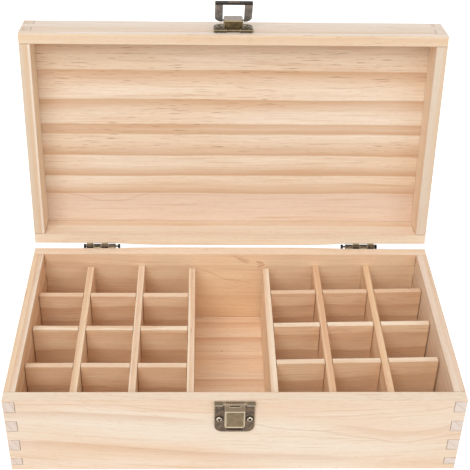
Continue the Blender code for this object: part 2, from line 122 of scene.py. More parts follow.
# The figure of the pine. A fineness is the scale along the grain, the scale across it and the detail.
SEED_STEP = 1.37
DRIFT_FINENESS = (9.0, 30.0, 3.0)
PATCH_FINENESS = (6.0, 36.0, 1.0)
STREAK_FINENESS = {"fibre": (20.0, 1000.0, 3.0), "strand": (8.0, 260.0, 2.0), "line": (14.0, 620.0, 1.0),
                   "speck": (190.0, 1500.0, 2.0), "dash": (60.0, 1400.0, 1.0)}
STREAK_ROUGHNESS = 0.55
# How a streak darkens the wood: (name, start and end of its fading in, share, colour or None for the dark tone).
STREAK_TONES = [("fibre", 0.3, 0.85, 0.34, None), ("strand", 0.48, 0.8, 0.26, None),
                ("line", 0.62, 0.78, 0.40, DEEP), ("speck", 0.5, 0.8, 0.30, DEEP)]
DRIFT_MIDDLE = 0.5
DRIFT_GAIN = 4
PATCH_LIMITS = (0.35, 0.66)
DASH_LIMITS = (0.63, 0.72)
DASH_PATCHES = (0.42, 0.6)
PLAIN_DASHES = 0.1
RING_GROWTH = (0.25, 0.9)
RING_END = (0.92, 1.0)
BAND_MARGIN = 0.03
BAND_EDGE = 0.0005
BAND_FALL = 1.4
LATE_STRANDS = (0.1, 0.75)
LATE_FAINTEST = 0.65
KNOT_LENGTHWISE = 0.7
KNOT_PUSH = 0.9
KNOT_LIMITS = (0.2, 0.8)
KNOT_SHARE = 0.22
STROKE_FADE = 0.2
FACE_LIMITS = (0.85, 0.97)
END_LIMITS = (0.75, 0.95)
END_LATE = (0.7, 1.0)
END_LINE_SHARE = 0.5
PINE_RELIEF = {"fibre": 0.6, "late": 0.4}
PINE_BEVEL = (4, 0.0005)
PINE_BUMP = (0.4, 0.00012)
PINE_ROUGHNESS = (0.2, 0.8, 0.54, 0.72)

# Late wood across a board: (sharp edge, soft end, depth at the edge, depth at the end) of each band.
FRONT_BANDS = [(0.0585, 0.052, 0.35, 0), (0.0475, 0.036, 0.7, 0), (0.0300, 0.024, 0.3, 0),
               (0.0165, 0.005, 0.75, 0), (-0.004, -0.012, 0.6, 0)]
BACK_BANDS = [(0.0525, 0.044, 0.6, 0), (0.0390, 0.030, 0.35, 0), (0.0240, 0.012, 0.5, 0), (0.0070, 0.0, 0.5, 0)]
FLOOR_BANDS = [(0.0665, 0.058, 0.6, 0), (0.0484, 0.035, 0.9, 0), (0.0290, 0.018, 0.5, 0),
               (0.0022, -0.010, 0.8, 0), (-0.0250, -0.040, 0.6, 0)]
PANEL_BANDS = [(-0.1530, -0.1400, 0.8, 0), (-0.1309, -0.1170, 0.95, 0), (-0.1092, -0.0960, 1.0, 0),
               (-0.0897, -0.0858, 0.9, 0.7), (-0.0818, -0.0857, 0.95, 0.7), (-0.0647, -0.0770, 0.95, 0),
               (-0.0483, -0.0590, 1.0, 0), (-0.0336, -0.0440, 0.9, 0), (-0.0324, -0.0050, 0.3, 0)]

# Single lines of the figure: (points along and across the grain, reach above, reach below, share).
FRONT_STROKES = [
    ([(-0.2000, 0.0600), (-0.1047, 0.0600), (-0.0965, 0.0595), (-0.0751, 0.0592), (-0.0588, 0.0566),
      (-0.0417, 0.0546), (-0.0100, 0.0522)], 0.0006, 0.0012, 0.22),
    ([(-0.2000, 0.0540), (-0.1405, 0.0538), (-0.1073, 0.0531), (-0.0757, 0.0511), (-0.0546, 0.0495),
      (-0.0304, 0.0472), (-0.0060, 0.0448)], 0.0005, 0.0095, 0.25),
    ([(-0.2000, 0.0272), (-0.1408, 0.0267), (-0.1094, 0.0255), (-0.0879, 0.0236), (-0.0608, 0.0204),
      (-0.0305, 0.0171), (-0.0009, 0.0150), (0.0335, 0.0138), (0.0667, 0.0121), (0.0990, 0.0072)],
     0.0005, 0.0085, 0.24),
    ([(0.0480, 0.0345), (0.0651, 0.0330), (0.0761, 0.0314), (0.0927, 0.0286), (0.1075, 0.0254),
      (0.1201, 0.0270), (0.1360, 0.0308), (0.2000, 0.0440)], 0.0006, 0.0012, 0.3),
    ([(0.0040, 0.0434), (0.0147, 0.0419), (0.0258, 0.0388), (0.0420, 0.0371), (0.0551, 0.0358),
      (0.0800, 0.0322)], 0.0006, 0.0011, 0.26),
    ([(0.0143, 0.0532), (0.0426, 0.0491), (0.0670, 0.0492), (0.0849, 0.0508), (0.1168, 0.0533),
      (0.1467, 0.0597), (0.2000, 0.0700)], 0.0006, 0.0016, 0.18),
    ([(0.0500, 0.0432), (0.0753, 0.0404), (0.0919, 0.0372), (0.1084, 0.0348), (0.1246, 0.0364),
      (0.1434, 0.0432), (0.2000, 0.0600)], 0.0006, 0.0085, 0.15),
    ([(0.0100, 0.0298), (0.0424, 0.0310), (0.0780, 0.0262)], 0.0005, 0.0010, 0.16),
]
# In this order: the streak, the amber patch below it, the knot's swirl over and under it, and a long line.
BACK_STROKES = [
    ([(0.0005, 0.0624), (0.0041, 0.0610), (0.0073, 0.0586), (0.0097, 0.0572), (0.0140, 0.0550)],
     0.0011, 0.0018, 0.35),
    ([(0.0040, 0.0600), (0.0075, 0.0594), (0.0105, 0.0584), (0.0150, 0.0570)], 0.0030, 0.0024, 0.32),
    ([(0.0184, 0.0564), (0.0208, 0.0565), (0.0233, 0.0558), (0.0254, 0.0547)], 0.0010, 0.0010, 0.75),
    ([(0.0198, 0.0516), (0.0218, 0.0523), (0.0239, 0.0533), (0.0262, 0.0539)], 0.0010, 0.0010, 0.75),
    ([(-0.0290, 0.0540), (-0.0263, 0.0516), (-0.0141, 0.0459), (-0.0042, 0.0406), (0.0060, 0.0385),
      (0.0200, 0.0372)], 0.0008, 0.0012, 0.28),
]
BACK_KNOT = (0.0218, 0.0544, 0.0030)
PANEL_STROKES = [
    ([(-0.1372, -0.0349), (-0.1147, -0.0317), (-0.0997, -0.0275), (-0.0921, -0.0270), (-0.0807, -0.0276),
      (-0.0714, -0.0310), (-0.0640, -0.0330), (-0.0501, -0.0353)], 0.0007, 0.0007, 0.3),
]
FLOOR_STROKES = [([(-0.0076, 0.0331), (-0.0067, 0.0333), (-0.0058, 0.0331)], 0.0008, 0.0008, 0.9)]

# The bow of the two back boards: how far it stands out, half its length, how many cuts its curve has, how
# square the curve is, and how near the outer face a corner has to lie to move with it.
BOW_DEPTH = 0.0014
BOW_REACH = 0.086
BOW_CUTS = 36
BOW_FULLNESS = 6
BOW_SKIN = 0.00001

# The latch and the hinges, as they lie on the solids. The lid's faces and levels are in the lid's own frame,
# and the loop's pivot is (y, z) with the lid open.
LATCH_SHIFT = -0.0006
LATCH_HOLE = 0.0098
BODY_LATCH_LEVEL = 0.0480
BODY_PLATE_FACE = -0.0821
LID_LATCH_LEVEL = 0.01415
LID_PLATE_FACE = -0.1657
LID_FRONT_LEVEL = -0.1646
LOOP_TILT = math.radians(31.9)
LOOP_PIVOT = (0.1182723, 0.2316402)
LOOP_BAR_START = 0.0189
# Where the painted shadow under the lever's tip lies on the body plate: its level, its half width and depth, and
# its half height.
TIP_SHADOW_LEVEL = 0.0400
TIP_SHADOW_HALF = 0.0050
TIP_SHADOW_RISE = 0.0014
HINGE_CENTRE = 0.098
HINGE_HOLE = 0.0065
BODY_LEAF_LEVEL = 0.05515
BODY_LEAF_FACE = 0.0822
LID_LEAF_LEVEL = 0.0085
LID_LEAF_FACE = -0.0014

# The screws. The profile is (share of the head's radius, share of its height) from the top down. A spin is
# how far a cross is turned, in radians, and for the latch (the middle, the change to each side).
SCREW_RADIUS = 0.0019
SCREW_HEIGHT = 0.0008
SCREW_PROFILE = [(0.55, 1.0), (0.8, 0.86), (0.95, 0.5), (1.0, 0.12), (1.0, 0.0)]
SCREW_TURNS = 24
SHANK_SHARE = 0.5
SHANK_DEPTH = 0.0006
RECESS_REACH = 0.0013
RECESS_HALF = 0.00046
RECESS_DEPTH = 0.0007
RECESS_EDGE = 0.0001
BODY_LATCH_SPIN = (0.6, 0.2)
LID_LATCH_SPIN = (0.2, 0.3)
BODY_HINGE_SPIN = 0.4
LID_HINGE_SPIN = 0.7

# The lip of the body plate: (share of its half length, share of its thickness) of each ring.
LIP_RINGS = [(-1.0, 0.35), (-0.92, 0.85), (-0.8, 1.0), (0.8, 1.0), (0.92, 0.85), (1.0, 0.35)]
LIP_HALF = 0.0046
LIP_LEVEL = 0.0378
LIP_RISE = 0.0007
LIP_PROUD = 0.0006
LIP_STEPS = 6

# The base, the dark and the rubbed tone of each bronze.
# Painted shade, for the dark lines and rings over the latch.
PAINTED_SHADE = (44, 34, 28)
# The painted shadow under the lever's tip.
TIP_SHADOW_BLACK = (12, 9, 8)
# The rubbed tone of worn edges, also used to paint highlights along the lever's fold and rim.
RUBBED_AND_HIGHLIGHT = (216, 200, 170)
# A painted highlight along each side of the cap.
CAP_EDGE_HIGHLIGHT = (160, 140, 104)
BODY_PLATE_BRONZE = ((116, 97, 75), (78, 67, 63), (196, 172, 136))
LEVER_BRONZE = ((130, 112, 85), (114, 97, 73), RUBBED_AND_HIGHLIGHT)
CAP_BRONZE = ((98, 80, 46), (72, 56, 32), RUBBED_AND_HIGHLIGHT)
LID_PLATE_BRONZE = ((140, 124, 100), (84, 70, 58), (210, 192, 158))
LID_PIN_BRONZE = ((176, 156, 118), (120, 100, 72), RUBBED_AND_HIGHLIGHT)
LOOP_BRONZE = ((180, 174, 168), (122, 116, 110), (206, 198, 184))
BODY_PIN_BRONZE = ((190, 172, 138), (110, 92, 68), RUBBED_AND_HIGHLIGHT)
HINGE_PIN_BRONZE = ((24, 18, 14), (12, 9, 8), (80, 68, 54))
LEAF_BRONZE = ((86, 68, 52), (40, 30, 23), (196, 176, 142))
HEAD_BRONZE = ((222, 206, 180), (160, 142, 116), (244, 234, 214))
LID_HEAD_BRONZE = ((136, 116, 96), (78, 64, 54), (190, 172, 144))
# The near black of the cross recesses is painted shade.
RECESS_SHADE_BRONZE = ((10, 8, 7), (6, 5, 4), (16, 12, 10))
LIP_BRONZE = ((118, 96, 78), (86, 70, 58), (150, 126, 104))

# Changes of tone over the latch, most of them painted highlights, painted shade and painted reflections:
# (from, to, colour, strength) along a direction and from a base, see toward().
# On the body plate's knuckles, by height: a painted shade line under the barrel, a painted highlight across it, a
# painted shade line over it, then a brown tone above.
BODY_KNUCKLE_SHADES = [(0.0605, 0.0608, PAINTED_SHADE, 0.85), (0.0612, 0.0615, (220, 204, 174), 0.9),
                       (0.0618, 0.0620, (52, 42, 34), 0.9), (0.0630, 0.0632, (140, 122, 94), 0.8)]
# Painted highlights along the rounded rim of the lever's face: its right side, its left side and its foot.
LEVER_RIGHT_SHADES = [(0.0053, 0.0061, RUBBED_AND_HIGHLIGHT, 0.65)]
LEVER_LEFT_SHADES = [(0.0045, 0.0061, (206, 188, 164), 0.7)]
LEVER_FOOT_SHADES = [(-0.0456, -0.0446, RUBBED_AND_HIGHLIGHT, 0.7)]
# Over the lever's top, by height: a painted highlight along the fold, painted shade on the sloping band above it,
# a fainter painted highlight across the curl, and painted shade over the curl's top.
LEVER_TOP_SHADES = [(0.0578, 0.0580, RUBBED_AND_HIGHLIGHT, 0.95), (0.0582, 0.0585, (122, 102, 82), 0.95),
                    (0.0617, 0.0621, (160, 140, 112), 0.5), (0.0626, 0.0629, (100, 82, 68), 0.8)]
# Painted highlights along the cap's sides.
CAP_SIDE_SHADES = [(0.0058, 0.0062, CAP_EDGE_HIGHLIGHT, 0.7)]
# Over the cap's top: a painted highlight along its edge, then a grey painted reflection over its top face.
CAP_TOP_SHADES = [(0.0071, 0.0074, (172, 154, 118), 0.85), (0.0078, 0.0081, (158, 146, 138), 0.95)]
CAP_FOOT_SHADES = [(-0.0026, -0.0018, (118, 96, 76), 0.8)]
# On the lid plate's knuckles, by height: painted shade low on the barrel, a painted highlight across it, a painted
# shade line over it, then a brown tone.
LID_KNUCKLE_SHADES = [(0.0011, 0.0012, (50, 40, 28), 0.95), (0.0017, 0.0018, (158, 140, 106), 0.9),
                      (0.0021, 0.0023, (40, 31, 24), 0.95), (0.0028, 0.0030, (96, 80, 58), 0.8)]
# Painted shade in the gaps above and below the lid's pin, laid on its top and its foot.
LID_PIN_TOP_SHADES = [(0.0020, 0.0022, PAINTED_SHADE, 0.9)]
LID_PIN_FOOT_SHADES = [(-0.0015, -0.0013, PAINTED_SHADE, 0.9)]
# The loop's end bar is painted dark as shade on its underside, and the tongue beyond it a browner tone.
LOOP_BAR_SHADES = [(0.0, 0.0003, (34, 27, 24), 1.0), (0.0026, 0.0029, (134, 104, 88), 0.9)]
# Painted shade ringed round each latch screw, for the dimple it sits in: the rise of the ring's middle on the body
# plate, where it fades, and its share.
SHADE_RING_RISE = 0.0006
SHADE_RING_LIMITS = (0.0030, 0.0024)
SHADE_RING_SHARE = 0.92
# The painted shadow under the lever's tip: where it fades, measured in its half sizes, and its share.
TIP_SHADOW_LIMITS = (1.1, 0.9)
TIP_SHADOW_SHARE = 0.97

# The patina. A texture is the scale, the detail and the roughness of a noise.
METAL_SEED_STEPS = (0.31, 0.17, 0.23)
BLOTCH_TEXTURE = (330.0, 3.0, 0.6)
GRIT_TEXTURE = (2200.0, 2.0, 0.6)
BLOTCH_LIMITS = (0.35, 0.7)
GRIT_LIMITS = (0.5, 0.8, 0.0, 0.35)
BRUSH_SCALE = 1900.0
BRUSH_LIMITS = (0.4, 0.65, 0.0, 0.55)
WORN_EDGE = (0.998, 0.93)
WORN_BLOTCHES = (0.25, 0.6, 0.45, 1.0)
METAL_BEVEL = (6, 0.0006)
METAL_BUMP = (0.25, 0.00006)
METAL_ROUGHNESS = (0.2, 0.8, 0.36, 0.52)
RUBBED_SMOOTHNESS = 0.12


def linear(colour):
    """Turns an sRGB colour of 0 to 255 into Blender's linear one."""
    out = []
    for value in colour:
        share = value / 255
        out.append(share / 12.92 if share <= 0.04045 else ((share + 0.055) / 1.055) ** 2.4)
    return (*out, 1)


class Tree:
    """A short way to add nodes and links to a node tree."""

    def __init__(self, tree):
        self.tree = tree

    def add(self, kind, **settings):
        node = self.tree.nodes.new(kind)
        for key, value in settings.items():
            setattr(node, key, value)
        return node

    def feed(self, socket, value):
        if isinstance(value, bpy.types.NodeSocket):
            self.tree.links.new(value, socket)
        else:
            socket.default_value = value

    def math(self, operation, first, second=0.0, third=0.0, clamp=False):
        node = self.add("ShaderNodeMath", operation=operation, use_clamp=clamp)
        for socket, value in zip(node.inputs, (first, second, third)):
            self.feed(socket, value)
        return node.outputs[0]

    def vector(self, operation, first, second=(0, 0, 0)):
        node = self.add("ShaderNodeVectorMath", operation=operation)
        self.feed(node.inputs[0], first)
        self.feed(node.inputs[1], second)
        return node.outputs["Value" if operation in ("DOT_PRODUCT", "LENGTH") else "Vector"]

    def join(self, x, y, z):
        node = self.add("ShaderNodeCombineXYZ")
        for socket, value in zip(node.inputs, (x, y, z)):
            self.feed(socket, value)
        return node.outputs[0]

    def noise(self, vector, scale=1.0, detail=2.0, roughness=0.5):
        node = self.add("ShaderNodeTexNoise")
        self.feed(node.inputs["Vector"], vector)
        node.inputs["Scale"].default_value = scale
        node.inputs["Detail"].default_value = detail
        node.inputs["Roughness"].default_value = roughness
        return node.outputs["Fac"]

    def spread(self, value, low, high, to_low=0.0, to_high=1.0, smooth=True):
        node = self.add("ShaderNodeMapRange", interpolation_type="SMOOTHSTEP" if smooth else "LINEAR")
        keys = ("Value", "From Min", "From Max", "To Min", "To Max")
        for key, entry in zip(keys, (value, low, high, to_low, to_high)):
            self.feed(node.inputs[key], entry)
        return node.outputs[0]

    def mix(self, factor, first, second):
        node = self.add("ShaderNodeMix", data_type="RGBA")
        self.feed(node.inputs[0], factor)
        self.feed(node.inputs[6], first)
        self.feed(node.inputs[7], second)
        return node.outputs[2]

    def ramp(self, value, stops):
        node = self.add("ShaderNodeValToRGB")
        self.feed(node.inputs[0], value)
        elements = node.color_ramp.elements
        while len(elements) < len(stops):
            elements.new(0.5)
        for element, (place, level) in zip(elements, sorted(stops)):
            element.position = place
            element.color = (level, level, level, 1)
        return node.outputs[0]

    def soft_edges(self, samples, radius):
        bevel = self.add("ShaderNodeBevel", samples=samples)
        bevel.inputs["Radius"].default_value = radius
        return bevel.outputs[0]

    def relief(self, height, normal, strength, depth):
        bump = self.add("ShaderNodeBump")
        bump.inputs["Strength"].default_value = strength
        bump.inputs["Distance"].default_value = depth
        self.feed(bump.inputs["Height"], height)
        self.feed(bump.inputs["Normal"], normal)
        return bump.outputs[0]


def new_material(name):
    material = bpy.data.materials.new(name)
    material.use_nodes = True
    material.node_tree.nodes.clear()
    return material, Tree(material.node_tree)


def finish_material(tree, colour, roughness, normal, **constants):
    """Adds the shader and the output. Constants go straight onto the shader's sockets."""
    shader = tree.add("ShaderNodeBsdfPrincipled")
    tree.feed(shader.inputs["Base Color"], colour)
    tree.feed(shader.inputs["Roughness"], roughness)
    tree.feed(shader.inputs["Normal"], normal)
    for key, value in constants.items():
        shader.inputs[key.replace("_", " ")].default_value = value
    output = tree.add("ShaderNodeOutputMaterial")
    tree.tree.links.new(shader.outputs[0], output.inputs[0])


class Board:
    """Where a point lies on a board, as values of its node tree: along the grain, across it and into it."""

    def __init__(self, tree, grain, across, origin, seed):
        self.tree = tree
        self.grain = grain
        self.shift = seed * SEED_STEP
        place = tree.add("ShaderNodeTexCoord").outputs["Object"]
        self.place = tree.vector("SUBTRACT", place, tuple(origin))
        self.normal = tree.add("ShaderNodeNewGeometry").outputs["True Normal"]
        self.along = tree.vector("DOT_PRODUCT", self.place, tuple(grain))
        self.wide = tree.vector("DOT_PRODUCT", self.place, tuple(across))
        self.deep = tree.vector("DOT_PRODUCT", self.place, tuple(grain.cross(across)))

    def noise(self, level, lengthwise, crosswise, detail, roughness=0.5):
        """Noise that is drawn out along the grain."""
        tree = self.tree
        spot = tree.join(tree.math("MULTIPLY_ADD", self.along, lengthwise, self.shift),
                         tree.math("MULTIPLY", level, crosswise), tree.math("MULTIPLY", self.deep, crosswise))
        return tree.noise(spot, 1.0, detail, roughness)

    def facing(self, direction, share=1.0):
        """The share on the faces that look along a direction, and 0 on the others."""
        look = self.tree.vector("DOT_PRODUCT", self.normal, tuple(direction))
        return self.tree.spread(look, *FACE_LIMITS, 0.0, share)

    def near_knot(self, knot):
        """How near a point lies to a small knot: 1 in its middle, 0 outside."""
        tree = self.tree
        x, level, size = knot
        apart = tree.join(tree.math("MULTIPLY", tree.math("SUBTRACT", self.along, x), KNOT_LENGTHWISE),
                          tree.math("SUBTRACT", self.wide, level), 0.0)
        return tree.spread(tree.vector("LENGTH", apart), 0.0, size, 1.0, 0.0)

    def figure_level(self, wave, bow):
        """The place across the board, moved so that what is drawn there drifts and sags in an arc."""
        tree = self.tree
        drift = tree.math("SUBTRACT", self.noise(self.wide, *DRIFT_FINENESS), DRIFT_MIDDLE)
        moved = tree.math("MULTIPLY_ADD", drift, wave * DRIFT_GAIN, self.wide)
        sag = tree.math("POWER", tree.math("SUBTRACT", self.along, bow[0]), 2.0)
        return tree.math("SUBTRACT", moved, tree.math("MULTIPLY", sag, bow[1]))

    def part_round(self, moved, near, knot):
        """The place across the board, moved again so that the figure parts round a knot."""
        tree = self.tree
        side = tree.math("SIGN", tree.math("SUBTRACT", self.wide, knot[1]))
        push = tree.math("MULTIPLY", tree.math("MULTIPLY", near, side), -knot[2] * KNOT_PUSH)
        return tree.math("ADD", moved, push)


def banded_wood(tree, level, bands):
    """Late wood in bands across the board, each with a sharp edge and a soft end."""
    low = min(min(band[:2]) for band in bands)
    high = max(max(band[:2]) for band in bands)
    margin = (high - low) * BAND_MARGIN
    low -= margin
    span = high + margin - low
    stops = []
    for sharp, soft, depth, rest in bands:
        side = 1 if sharp > soft else -1
        stops.append(((soft - low) / span, rest))
        stops.append(((sharp - low) / span, depth))
        stops.append(((sharp + side * BAND_EDGE - low) / span, 0.0))
    share = tree.spread(level, low, low + span, smooth=False)
    return tree.math("POWER", tree.ramp(share, stops), BAND_FALL)


def ringed_wood(board, level, spacing, pith):
    """Late wood in growth rings round a pith, which is given across the board and into it."""
    tree = board.tree
    radius = tree.vector("LENGTH", tree.join(0.0, tree.math("SUBTRACT", level, pith[0]),
                                             tree.math("SUBTRACT", board.deep, pith[1])))
    turn = tree.math("FRACT", tree.math("DIVIDE", radius, spacing))
    return tree.math("SUBTRACT", tree.spread(turn, *RING_GROWTH), tree.spread(turn, *RING_END))


def stroke_mask(board, points, above, below):
    """How near a point lies to a line through points of the figure: 1 on it, 0 beyond its reach on each side."""
    tree = board.tree
    levels = [level for x, level in points]
    low, high = min(levels), max(levels)
    start, stop = points[0][0], points[-1][0]
    reach = tree.spread(board.along, start, stop, smooth=False)
    curve = tree.add("ShaderNodeFloatCurve")
    handles = curve.mapping.curves[0].points
    while len(handles) < len(points):
        handles.new(0.5, 0.5)
    for handle, (x, level) in zip(handles, points):
        handle.location = ((x - start) / (stop - start), (level - low) / (high - low))
    curve.mapping.update()
    tree.feed(curve.inputs["Value"], reach)
    middle = tree.spread(curve.outputs[0], 0.0, 1.0, low, high, smooth=False)
    gap = tree.math("SUBTRACT", board.wide, middle)
    line = tree.math("MINIMUM", tree.spread(gap, above, 0.0), tree.spread(gap, -below, 0.0))
    ends = tree.math("MULTIPLY", tree.spread(reach, 0.0, STROKE_FADE), tree.spread(reach, 1.0, 1.0 - STROKE_FADE))
    return tree.math("MULTIPLY", line, ends)


def tint_faces(board, colour, tones, strips):
    """Colours the faces that look a given way, and then edges of such faces."""
    tree = board.tree
    for direction, tone, share in tones:
        colour = tree.mix(board.facing(direction, share), colour, linear(tone))
    for direction, course, start, stop, tone in strips:
        top = board.facing(direction)
        edge = tree.spread(tree.vector("DOT_PRODUCT", board.place, tuple(course)), start, stop)
        colour = tree.mix(tree.math("MULTIPLY", top, edge), colour, linear(tone))
    return colour


def draw_streaks(tree, colour, late, streaks, contrast, dark):
    """Darkens the late wood and the fine streaks."""
    strands = tree.spread(streaks["strand"], *LATE_STRANDS, contrast * LATE_FAINTEST, contrast, smooth=False)
    colour = tree.mix(tree.math("MULTIPLY", late, strands), colour, linear(dark))
    for key, start, full, share, tone in STREAK_TONES:
        colour = tree.mix(tree.spread(streaks[key], start, full, 0.0, share), colour, linear(tone or dark))
    return colour


def grey_ends(board, colour, late, share):
    """Greys the end grain."""
    tree = board.tree
    look = tree.math("ABSOLUTE", tree.vector("DOT_PRODUCT", board.normal, tuple(board.grain)))
    end = tree.spread(look, *END_LIMITS)
    end_colour = tree.mix(tree.spread(late, *END_LATE, 0.0, END_LINE_SHARE), linear(END_GREY), linear(END_LINE))
    return tree.mix(tree.math("MULTIPLY", end, share), colour, end_colour)


def wood(name, grain, across, seed, palette, rings=None, bands=None, contrast=0.6, wave=0.002, dashes=0.35,
         plain=None, bow=(0.0, 0.0), knot=None, tones=(), strips=(), strokes=(), origin=(0.0, 0.0, 0.0),
         end_share=0.8):
    """Pine with late wood, long fibres, resin dashes and greyer end grain.

    palette is the light, the patchy and the dark tone. The late wood lies in bands where they are given, and
    else in rings, (spacing, pith). plain is (start, end) across the board of a fading into a zone with few
    dashes. bow is the middle and the strength of a sag in the figure, and knot is (along, across, size).
    tones are (direction, colour, share) of the faces that look that way, and strips are (facing, direction,
    start, end, colour) of an edge of such a face. strokes are single brown lines of the figure.
    """
    light, patch, dark = palette
    material, tree = new_material(name)
    board = Board(tree, grain, across, origin, seed)
    level = board.figure_level(wave, bow)
    if knot:
        near = board.near_knot(knot)
        level = board.part_round(level, near, knot)
    late = banded_wood(tree, level, bands) if bands else ringed_wood(board, level, *rings)
    streaks = {key: board.noise(level, *fineness, STREAK_ROUGHNESS) for key, fineness in STREAK_FINENESS.items()}
    dash = tree.spread(streaks["dash"], *DASH_LIMITS)
    if plain:
        dash = tree.math("MULTIPLY", dash, tree.spread(board.wide, *plain, 1.0, PLAIN_DASHES))
    patches = board.noise(board.wide, *PATCH_FINENESS)
    colour = tree.mix(tree.spread(patches, *PATCH_LIMITS), linear(light), linear(patch))
    colour = tint_faces(board, colour, tones, strips)
    colour = draw_streaks(tree, colour, late, streaks, contrast, dark)
    dash_share = tree.math("MULTIPLY", tree.math("MULTIPLY", dash, tree.spread(patches, *DASH_PATCHES)), dashes)
    colour = tree.mix(dash_share, colour, linear(DASH_BROWN))
    if knot:
        colour = tree.mix(tree.spread(near, *KNOT_LIMITS, 0.0, KNOT_SHARE), colour, linear(KNOT_BROWN))
    for points, above, below, share in strokes:
        stroke = stroke_mask(board, points, above, below)
        colour = tree.mix(tree.math("MULTIPLY", stroke, share), colour, linear(KNOT_BROWN))
    colour = grey_ends(board, colour, late, end_share)
    height = tree.math("ADD", tree.math("MULTIPLY", streaks["fibre"], PINE_RELIEF["fibre"]),
                       tree.math("MULTIPLY", late, PINE_RELIEF["late"]))
    normal = tree.relief(height, tree.soft_edges(*PINE_BEVEL), *PINE_BUMP)
    roughness = tree.spread(streaks["fibre"], *PINE_ROUGHNESS, smooth=False)
    finish_material(tree, colour, roughness, normal)
    return material


def shade_metal(tree, place, colour, shades, shade_rings, tip_shadow):
    """Adds the changes of tone along directions, most of them painted light and shade, the rings of painted shade
    round places, and the painted shadow that lies level under the lever's tip.
    """
    for direction, start, stop, tone, strength in shades:
        reach = tree.vector("DOT_PRODUCT", place, tuple(direction))
        colour = tree.mix(tree.spread(reach, start, stop, 0.0, strength), colour, linear(tone))
    # Rings of painted shade round the given places.
    for shade_ring in shade_rings:
        apart = tree.vector("LENGTH", tree.vector("SUBTRACT", place, tuple(shade_ring)))
        colour = tree.mix(tree.spread(apart, *SHADE_RING_LIMITS, 0.0, SHADE_RING_SHARE), colour, linear(PAINTED_SHADE))
    # The painted shadow under the lever's tip: near black inside a level box.
    if tip_shadow:
        middle, half_size = tip_shadow
        apart = tree.vector("ABSOLUTE", tree.vector("SUBTRACT", place, tuple(middle)))
        apart = tree.vector("DIVIDE", apart, half_size)
        part = tree.add("ShaderNodeSeparateXYZ")
        tree.feed(part.inputs[0], apart)
        x, y, z = part.outputs
        inside = tree.math("MAXIMUM", tree.math("MAXIMUM", x, y), z)
        colour = tree.mix(tree.spread(inside, *TIP_SHADOW_LIMITS, 0.0, TIP_SHADOW_SHARE), colour, linear(TIP_SHADOW_BLACK))
    return colour


def bronze(name, palette, seed, metallic=0.75, wear=1.0, shade_rings=(), shades=(), brushed=None, tip_shadow=None, gloss=0.5):
    """Aged bronze: blotchy brown patina, rubbed bright along its edges, with painted light and shade where given.

    palette is the base, the dark and the rubbed tone. The shade rings are places ringed with painted shade, the
    shade of the dimples round the screws. shades are (direction, from, to, colour, strength) of a change of tone
    along a direction, mostly painted highlights, shade and reflections. brushed is the direction across brushed
    lines. The tip shadow is (middle, half size) of a painted shadow that is level and runs along X, under the
    lever's tip.
    """
    base, dark, bright = palette
    material, tree = new_material(name)
    place = tree.add("ShaderNodeTexCoord").outputs["Object"]
    moved = tree.vector("ADD", place, tuple(seed * step for step in METAL_SEED_STEPS))
    blotch = tree.noise(moved, *BLOTCH_TEXTURE)
    grit = tree.noise(moved, *GRIT_TEXTURE)
    soft_normal = tree.soft_edges(*METAL_BEVEL)
    true_normal = tree.add("ShaderNodeNewGeometry").outputs["True Normal"]
    edge = tree.spread(tree.vector("DOT_PRODUCT", soft_normal, true_normal), *WORN_EDGE)
    rubbed = tree.math("MULTIPLY", edge, tree.spread(blotch, *WORN_BLOTCHES))
    rubbed = tree.math("MULTIPLY", rubbed, wear, clamp=True)
    colour = tree.mix(tree.spread(blotch, *BLOTCH_LIMITS), linear(base), linear(dark))
    colour = tree.mix(tree.spread(grit, *GRIT_LIMITS), colour, linear(dark))
    if brushed:
        across = tree.vector("DOT_PRODUCT", place, brushed)
        lines = tree.noise(tree.join(tree.math("MULTIPLY", across, BRUSH_SCALE), 0.0, 0.0), 1.0, 2.0)
        colour = tree.mix(tree.spread(lines, *BRUSH_LIMITS), colour, linear(dark))
    colour = shade_metal(tree, place, colour, shades, shade_rings, tip_shadow)
    colour = tree.mix(rubbed, colour, linear(bright))
    roughness = tree.math("SUBTRACT", tree.spread(blotch, *METAL_ROUGHNESS),
                          tree.math("MULTIPLY", rubbed, RUBBED_SMOOTHNESS))
    normal = tree.relief(grit, soft_normal, *METAL_BUMP)
    finish_material(tree, colour, roughness, normal, Metallic=metallic, Specular_IOR_Level=gloss)
    return material


def dress(name, material):
    for slot in nodes[name].material_slots:
        slot.material = material


def dress_box():
    up = AXIS_Z
    rim = (up, PALE, 0.6)
    dress("body_front_board", wood(
        "front_pine", AXIS_X, up, 1, FRONT_PINE, bands=FRONT_BANDS, contrast=0.22, wave=0.0015, dashes=0.12,
        bow=(0.03, 0.42), tones=[rim], strokes=FRONT_STROKES))
    dress("body_back_board", wood(
        "back_pine", AXIS_X, up, 2, AMBER_PINE, bands=BACK_BANDS, contrast=0.7, dashes=0.2, bow=(0.05, 0.12),
        knot=BACK_KNOT, tones=[rim, (AXIS_Y, CREAM, 0.85)], strokes=BACK_STROKES))
    # The left board's rim gets a painted highlight: the PALE strip along its inner edge.
    dress("body_left_board", wood(
        "left_pine", AXIS_Y, up, 3, LEFT_PINE, rings=(0.0052, (0.14, 0.06)), contrast=0.7,
        tones=[(up, LEFT_RIM, 0.85), (-AXIS_X, CREAM, 0.85)], strips=[(up, AXIS_X, -0.1440, -0.1434, PALE)]))
    dress("body_right_board", wood(
        "right_pine", AXIS_Y, up, 4, RIGHT_PINE, rings=(0.0055, (0.13, 0.21)), contrast=0.45,
        tones=[(up, RIGHT_RIM, 0.8)]))
    dress("body_bottom_panel", wood(
        "floor_pine", AXIS_X, AXIS_Y, 5, FLOOR_PINE, bands=FLOOR_BANDS, contrast=1.0, wave=0.001, dashes=0.3,
        strokes=FLOOR_STROKES))


